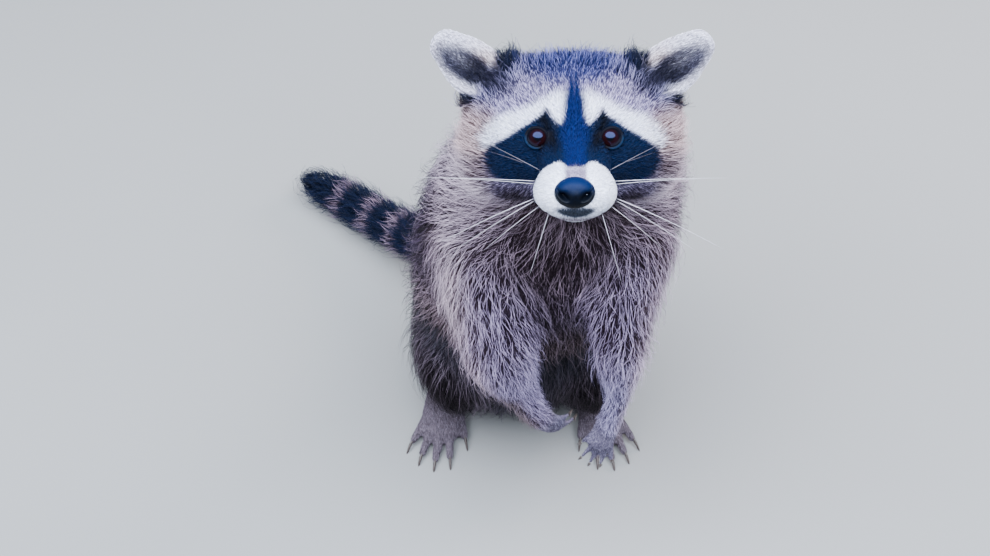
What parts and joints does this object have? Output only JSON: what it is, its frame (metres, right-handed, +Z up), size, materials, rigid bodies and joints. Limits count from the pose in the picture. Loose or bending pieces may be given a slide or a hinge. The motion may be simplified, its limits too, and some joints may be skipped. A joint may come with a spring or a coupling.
{
  "type": "raccoon",
  "caption": "Still, life-size raccoon sitting up on its haunches, head raised, forepaws held together and ringed tail laid on the floor.",
  "frame": {"origin": "middle of the small flat under the rump, at floor level", "axes": "+Z up, the animal faces -Y, +X towards the animal's own left side"},
  "size_m": [0.3044, 0.3382, 0.3933],
  "materials": {
    "fur_grizzled": "coarse grizzled fur, dark underfur with pale tips",
    "fur_dark": "short dark fur",
    "fur_ringed": "bushy fur with dark and tan rings",
    "paw_skin": "short lilac-grey fur over dark skin",
    "nose_leather": "moist pebbled nose leather",
    "eye": "wet dark brown eye",
    "claw": "smooth dark horn"
  },
  "bodies": {
    "root": {"nose": "nose_leather", "eye_right": "eye", "eye_left": "eye", "ear_right": "fur_grizzled", "ear_left": "fur_grizzled", "head": "fur_grizzled", "hand_right": "paw_skin", "hand_right_claw_1": "claw", "hand_right_claw_2": "claw", "hand_right_claw_3": "claw", "hand_right_claw_4": "claw", "hand_right_claw_5": "claw", "hand_left": "paw_skin", "hand_left_claw_1": "claw", "hand_left_claw_2": "claw", "hand_left_claw_3": "claw", "hand_left_claw_4": "claw", "hand_left_claw_5": "claw", "foot_right": "paw_skin", "foot_right_claw_1": "claw", "foot_right_claw_2": "claw", "foot_right_claw_3": "claw", "foot_right_claw_4": "claw", "foot_right_claw_5": "claw", "foot_left": "paw_skin", "foot_left_claw_1": "claw", "foot_left_claw_2": "claw", "foot_left_claw_3": "claw", "foot_left_claw_4": "claw", "foot_left_claw_5": "claw", "trunk": "fur_grizzled", "neck": "fur_grizzled", "tail_root": "fur_ringed", "tail_middle": "fur_ringed", "tail_tip": "fur_ringed", "upper_arm_right": "fur_grizzled", "forearm_right": "fur_grizzled", "upper_arm_left": "fur_grizzled", "forearm_left": "fur_grizzled", "thigh_right": "fur_grizzled", "shank_right": "fur_dark", "thigh_left": "fur_grizzled", "shank_left": "fur_dark"}
  },
  "joints": []
}
